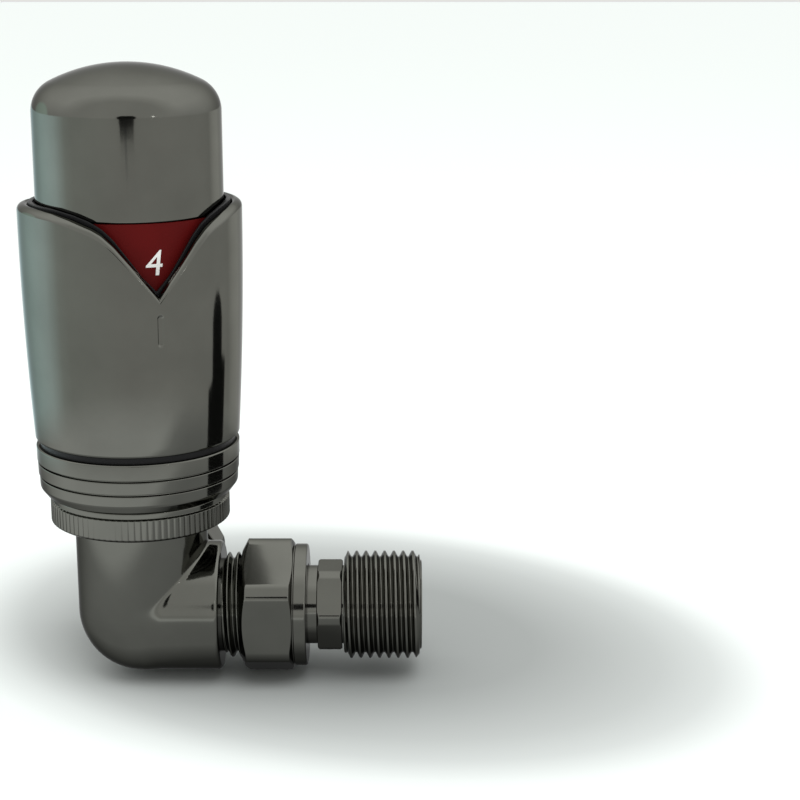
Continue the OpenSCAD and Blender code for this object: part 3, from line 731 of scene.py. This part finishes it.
def helical(columns, heights, crest_r, first_crest, envelope):
    """Radius and height grids of an outside thread. envelope(height) is the largest radius there."""
    turn = (np.arange(columns) / columns)[:, None]
    h = np.tile(heights, (columns, 1))
    wave = thread_wave((h - first_crest) / PITCH - turn)
    r = crest_r - THREAD_DEPTH * (1 - wave)
    return np.minimum(r, envelope(h)), h


# ---------- tailpiece ----------


def tailpiece():
    """Spigot, hexagon, radiator thread and the open bore with its hexagon key socket."""
    columns = 240
    spigot_r, hex_a, hex_b = 7.6, 33.9, 38.6
    root_r = THREAD_R - THREAD_DEPTH
    hexa = hexagon(columns, 16.0, 2.4)
    shift = columns // 12                                # a flat faces up
    hexa = np.roll(hexa, shift)
    corner_r, soft = 8.85, 0.18
    body = outline([
        (5.6, TAIL_A, 0.2), (spigot_r, TAIL_A, 0.5), (spigot_r, 20.0, 0.05), (6.35, 20.0, 0.05),
        (6.35, 22.0, 0.05), (spigot_r, 22.0, 0.05), (spigot_r, 27.95, 0.05), (6.95, 27.95, 0.05),
        (6.95, 29.35, 0.05),
        (spigot_r, 29.35, 0.05), (spigot_r, hex_a - 0.02, 0.25), (7.9, hex_a, 0.0)], 4)[5:]
    hex_z = np.concatenate([hex_a + 0.5 * np.linspace(0, 1, 7), spaced(hex_a + 0.8, hex_b - 0.5, 0.5),
                            hex_b - 0.5 + 0.5 * np.linspace(0, 1, 7)])
    near_end = np.minimum(hex_z - hex_a, hex_b - hex_z)
    chamfered = corner_r - 0.35 * (1 - np.clip(near_end / 0.35, 0, 1))
    hex_r = smooth_min(chamfered[None, :], hexa[:, None], soft)
    collar = outline([(7.9, hex_b, 0), (7.6, hex_b + 0.02, 0.08), (7.6, hex_b + 0.35, 0.08),
                      (root_r, hex_b + 0.4, 0.1), (root_r, THREAD_A + 0.3, 0.0)], 4)[1:-1]
    end_chamfer = 1.1

    def envelope(h):
        start = root_r + (THREAD_R - root_r) * np.clip((h - THREAD_A + 0.3) / 0.5, 0, 1)
        end = THREAD_R - 0.05 - np.clip((h - (TAIL_B - end_chamfer)) / end_chamfer, 0, 1) * 1.35
        return np.minimum(start, end)

    heights = spaced(THREAD_A - 0.25, TAIL_B - 0.3, PITCH / 16)
    thread_r, thread_h = helical(columns, heights, THREAD_R, THREAD_A + 0.2, envelope)
    inside = outline([(8.7, TAIL_B, 0.3), (7.5, TAIL_B, 0.35), (7.5, THREAD_A, 0.15), (6.95, THREAD_A, 0.0)], 4)
    key = np.roll(hexagon(columns, 12.0, 0.5), shift)
    key_r = np.minimum(key, 6.93)[:, None] * np.ones((1, 6))
    key_h = np.tile(np.linspace(THREAD_A - 0.1, hex_a, 6), (columns, 1))
    back = outline([(5.9, hex_a, 0.0), (5.6, hex_a, 0.1), (5.6, TAIL_A, 0.2), (6.5, TAIL_A, 0.0)], 4)[:-1]

    def plain(points):
        return np.tile(points[:, 0], (columns, 1)), np.tile(points[:, 1], (columns, 1))

    pieces = [plain(body), (hex_r, np.tile(hex_z, (columns, 1))), plain(collar), (thread_r, thread_h),
              plain(inside), (key_r, key_h), plain(back)]
    r = np.concatenate([piece[0] for piece in pieces], 1)
    h = np.concatenate([piece[1] for piece in pieces], 1)
    build("tail_shell", [turned(r, h, along_tail)], black_nickel_brass, "body", "tailpiece")


# ---------- valve body ----------


def rod(p, axis, radius, start, end, centre=(0, 0, 0), rounding=0.5):
    """Distance to a cylinder along an axis, with rounded ends."""
    q = p - np.array(centre)
    others = [n for n in range(3) if n != axis]
    side = np.hypot(q[..., others[0]], q[..., others[1]]) - radius
    ends = np.maximum(start - q[..., axis], q[..., axis] - end)
    return smooth_max(side, ends, rounding)


def body_distance(p):
    """The cast body: three branches and a round corner, less the water ways."""
    inlet = (0, 0, INLET_Z)
    corner = np.linalg.norm(p, axis=-1) - BODY_R
    upright = rod(p, Z, BODY_R, 0, RING_Z, rounding=0.4)
    solid = smooth_min(upright, corner, 0.05)
    tail_branch = rod(p, X, BODY_R - 0.1, 0, 15.4, rounding=0.9)
    solid = smooth_min(solid, tail_branch, 0.6)
    solid = smooth_min(solid, rod(p, Y, 11.2, 0, 15.5, inlet, 0.7), 0.6)
    solid = np.minimum(solid, rod(p, Z, 14.1, RING_Z, BODY_TOP, rounding=0.3))
    ways = [
        rod(p, Z, 10.5, 12.5, BODY_TOP + 5), rod(p, Z, 9.0, 3.4, 13.0), rod(p, Z, 5.0, 0, 5.0),
        rod(p, Z, 7.2, -7.5, 1.6), rod(p, X, 4.5, 0, 20, (0, 0, -3.0)), rod(p, X, 7.65, 14.0, 25),
        rod(p, Y, 3.7, 0, 20, (0, 0, 7.2)), rod(p, Y, 7.6, 14.5, 25, inlet),
    ]
    for way in ways:
        solid = smooth_max(solid, -way, 0.3)
    lip = np.maximum(rod(p, Z, 6.2, 2.4, 4.4, rounding=0.2), -rod(p, Z, 5.0, 0, 8, rounding=0.2))
    return np.minimum(solid, lip)


def threaded_neck(crest_r, start, end, bore, place):
    """A threaded tube end that runs out of the casting."""
    columns = 240
    root = crest_r - THREAD_DEPTH

    def envelope(h):
        begin = root + THREAD_DEPTH * np.clip((h - start - 0.5) / 0.6, 0, 1)
        return np.minimum(begin, crest_r - np.clip((h - end + 1.0) / 1.0, 0, 1) * 1.0)

    heights = spaced(start, end - 0.2, PITCH / 14)
    r, h = helical(columns, heights, crest_r, start + 1.2, envelope)
    rest = outline([(root - 0.2, end, 0.2), (bore, end, 0.3), (bore, start - 0.6, 0.1),
                    (root, start - 0.6, 0.1)], 4)
    r = np.concatenate([r, np.tile(rest[:, 0], (columns, 1))], 1)
    h = np.concatenate([h, np.tile(rest[:, 1], (columns, 1))], 1)
    return turned(r, h, place)


def valve_body():
    reach = BODY_R + 1.0
    points, faces, normals = surface_of(
        body_distance, (-reach, -reach, -reach), (16.5, 16.5, BODY_TOP + 1.0), 0.4)
    casting = points + np.array([HEAD_X, 0, 0]), faces, normals
    union_end = threaded_neck(10.2, 15.4, UNION_THREAD_END, 7.65, along_tail)
    inlet_end = threaded_neck(THREAD_R, 15.5, INLET_THREAD_END, 7.62, along_inlet)
    build("body_casting", [casting, union_end, inlet_end], black_nickel_brass,
          "body", "valve_body")


knob_cap()
scale_ring()
numerals()
outer_sleeve()
sleeve_liner()
ribbed_base_ring()
coupling_ring()
union_nut()
compression_nut()
tailpiece()
valve_body()

# ---------- floor, light and camera ----------


def painted_shadow_place(s, scale):
    """Distance from the middle of the painted shadow pool that the valve stands in, as a share of 1.6 times its
    reach.
    The painted shadow pool is an ellipse that runs out to the back left."""
    place = s.mapped(kind="TEXTURE", Location=((HEAD_X + 41) * MM, 20 * MM, 0), Rotation=(0, 0, math.radians(148)),
                     Scale=(86 * scale * MM, 63 * scale * MM, 1))
    return s.ranged(s.flat_length(place), from_max=1.6)


def staged(name, verts, material):
    """One flat face of the stage, which isn't part of the valve. Its corners are in millimetres."""
    mesh = bpy.data.meshes.new(name)
    mesh.from_pydata([tuple(np.array(v) * MM) for v in verts], [], [tuple(range(len(verts)))])
    obj = placed(name, mesh, material)
    return obj


def floor_sheet(name, material, z):
    size = 4000
    return staged(name, [(-size, -size, z), (size, -size, z), (size, size, z), (-size, size, z)], material)


def only_in_reflections(obj):
    obj.visible_camera = False
    obj.visible_shadow = False
    obj.visible_diffuse = False


def floor():
    """A white sheet with painted shadow in its colour: greyer around the valve, where the paper is out of the
    lamps' full light.
    """
    s = Shader("paper_floor")
    s.set({"Roughness": 0.9, "Specular IOR Level": 0.0})
    # painted shadow: the floor's colour runs from grey under the valve to white round it
    tones = [(0.0, 0.37), (0.28, 0.38), (0.375, 0.45), (0.47, 0.53), (0.55, 0.64), (0.625, 0.84), (0.70, 0.97)]
    s.link(s.ramp(painted_shadow_place(s, 1.0), [(place, (0.96 * tone, 1.01 * tone, tone)) for place, tone in tones]),
           s.shader.inputs["Base Color"])
    floor_sheet("floor", s.material, FLOOR_Z - 0.02).visible_glossy = False


def painted_floor_reflection():
    """A painted reflection of the floor: a glowing sheet that only the plating shows, grey with painted shadow
    under the valve and white round it. Further out it is dim in front and on the right, and bright on the window's
    side."""
    s = Shader("painted_floor_reflection")
    s.set({"Roughness": 1.0, "Base Color": (0, 0, 0, 1), "Specular IOR Level": 0.0, "Emission Strength": 1.0})
    s.material.cycles.emission_sampling = "NONE"
    # painted shadow round the valve, as the plating reflects it
    tones = [(0.0, 0.36), (0.31, 0.45), (0.50, 0.50), (0.59, 0.56), (0.68, 1.0)]
    near = s.ramp(painted_shadow_place(s, 1.9), [(place, (0.98 * tone, tone, 0.99 * tone)) for place, tone in tones])
    from_head = s.mapped(Location=(-HEAD_X * MM, 0, 0))
    direction = s.node("ShaderNodeTexGradient", gradient_type="RADIAL")
    s.link(from_head, direction.inputs["Vector"])
    # painted reflection of the floor further out, its tone set by direction from the head
    window, side, back = (1.40, 1.80, 1.85), (1.15, 1.38, 1.40), (1.1, 1.1, 1.08)
    far = s.ramp(direction.outputs["Fac"], [            # from the left, by the front (0.25), right (0.5) and back
        (0.0, side), (0.05, (0.74, 0.8, 0.77)), (0.08, (0.67, 0.7, 0.67)), (0.25, (0.66, 0.66, 0.64)),
        (0.47, (0.66, 0.66, 0.64)), (0.59, (0.68, 0.68, 0.66)), (0.62, (1.1, 1.1, 1.08)),
        (0.655, (1.5, 1.5, 1.48)), (0.72, back), (0.80, back), (0.84, window), (0.92, window), (1.0, side)])
    away = s.ranged(s.flat_length(from_head), from_min=0.15, from_max=0.195)
    # painted contact shadow under the valve, darkest in the middle
    under = s.mapped(kind="TEXTURE", Location=((HEAD_X + 22) * MM, 0, 0), Scale=(48 * MM, 19 * MM, 1))
    shade = s.ramp(s.flat_length(under), [(0.0, 0.14), (0.55, 0.3), (1.0, 1.0)])
    s.link(s.mix(1.0, s.mix(away, near, far), shade, "MULTIPLY"), s.shader.inputs["Emission Color"])
    only_in_reflections(floor_sheet("painted_floor_reflection", s.material, FLOOR_Z - 0.03))


def painted_reflection_card(name, corners, place, facing=0.0, glow=0.0):
    """A painted reflection: an upright card that shows only in the plating, as the camera and a neighbour do in a
    real set; with a glow it is a painted highlight.
    Its corners are (across, up) from its place, and it faces a direction turned from the front."""
    side = np.array([math.cos(facing), math.sin(facing), 0])
    s = Shader(name)
    s.set({"Roughness": 0.8, "Base Color": (0.004, 0.004, 0.004, 1), "Emission Color": (glow, glow, glow, 1),
           "Emission Strength": 1.0})
    s.material.cycles.emission_sampling = "NONE"
    verts = [np.array(place) + side * across + np.array([0, 0, up]) for across, up in corners]
    only_in_reflections(staged(name, verts, s.material))


def soft_light(name, place, target, size, power):
    """A large lamp that lights but does not show in the plating."""
    light = bpy.data.lights.new(name, "AREA")
    light.shape = "DISK"
    light.size = size
    light.energy = power
    obj = bpy.data.objects.new(name, light)
    bpy.context.scene.collection.objects.link(obj)
    obj.location = place
    obj.visible_glossy = False
    aim = Vector(target) - Vector(place)
    obj.rotation_euler = aim.to_track_quat("-Z", "Y").to_euler()


def surroundings():
    """A white room, brightest overhead and dim in front, with a pale green window towards the back left."""
    world = bpy.data.worlds.new("room")
    bpy.context.scene.world = world
    world.use_nodes = True
    s = Nodes(world.node_tree)
    direction = s.node("ShaderNodeTexCoord").outputs["Generated"]
    apart = s.node("ShaderNodeSeparateXYZ")
    s.link(direction, apart.inputs[0])
    overhead = s.ramp(apart.outputs["Z"], [(0.0, (0.76, 0.76, 0.75)), (0.5, (1.10, 1.10, 1.08))])
    ahead = s.ranged(apart.outputs["Y"], from_min=-0.2, from_max=-0.6)
    room = s.mix(ahead, overhead, (0.76, 0.76, 0.74, 1))
    towards = s.node("ShaderNodeVectorMath", operation="DOT_PRODUCT")
    towards.inputs[1].default_value = (-0.90, 0.43, 0.0)
    s.link(direction, towards.inputs[0])
    window = s.ramp(towards.outputs["Value"], [(0.955, 0.0), (0.97, 1.0)])
    s.link(s.mix(window, room, (1.02, 1.25, 1.16, 1)), s.tree.nodes["Background"].inputs["Color"])


CAMERA = np.array([HEAD_X + 49.78, -333.4, 125.4])
PITCH_DOWN = math.radians(14.2)
FOCAL_WIDTHS = 1815 / 800                              # focal length in picture widths


def camera():
    data = bpy.data.cameras.new("camera")
    data.sensor_width = 36.0
    data.lens = 36.0 * FOCAL_WIDTHS
    data.clip_start, data.clip_end = 0.01, 20
    obj = bpy.data.objects.new("camera", data)
    bpy.context.scene.collection.objects.link(obj)
    obj.location = CAMERA * MM
    obj.rotation_euler = (math.pi / 2 - PITCH_DOWN, 0, 0)
    bpy.context.scene.camera = obj


floor()
painted_floor_reflection()
surroundings()
camera()
# painted reflection of the camera body: a dark card that only the plating shows
painted_reflection_card("camera_card", [(-46, -40), (46, -40), (70, -14), (66, 16), (40, 34), (-44, 32), (-70, 8),
                               (-66, -20)], (HEAD_X + 48, -345, 98))
# painted reflection of the neighbouring valve: a dark card that only the plating shows
painted_reflection_card("neighbour_card", [(-26, -20), (29, -20), (29, 20), (15, 22), (15, 33), (11, 38), (4, 41),
                                  (-4, 41), (-11, 38), (-15, 33), (-15, 16), (-26, 13)],
               (HEAD_X + 118, 18, 0), math.pi / 2)
# painted reflection of the stand below the camera: a card with a faint glow
painted_reflection_card("stand_card", [(-7, -30), (7, -30), (15, 20), (-15, 20)], (HEAD_X + 37, -346, 76), glow=0.45)
# painted highlight of the camera flash: a small glowing card that only the plating shows
painted_reflection_card("painted_flash_highlight", [(-6, -4), (0, -7), (6, -4), (6, 4), (0, 7), (-6, 4)],
               (HEAD_X + 188, -234, 104), math.radians(38), glow=7.0)
soft_light("soft_top", (0.15, -0.35, 0.9), (HEAD_X * MM, 0, 0.03), 0.7, 3.0)
bpy.context.scene.view_settings.view_transform = "Standard"
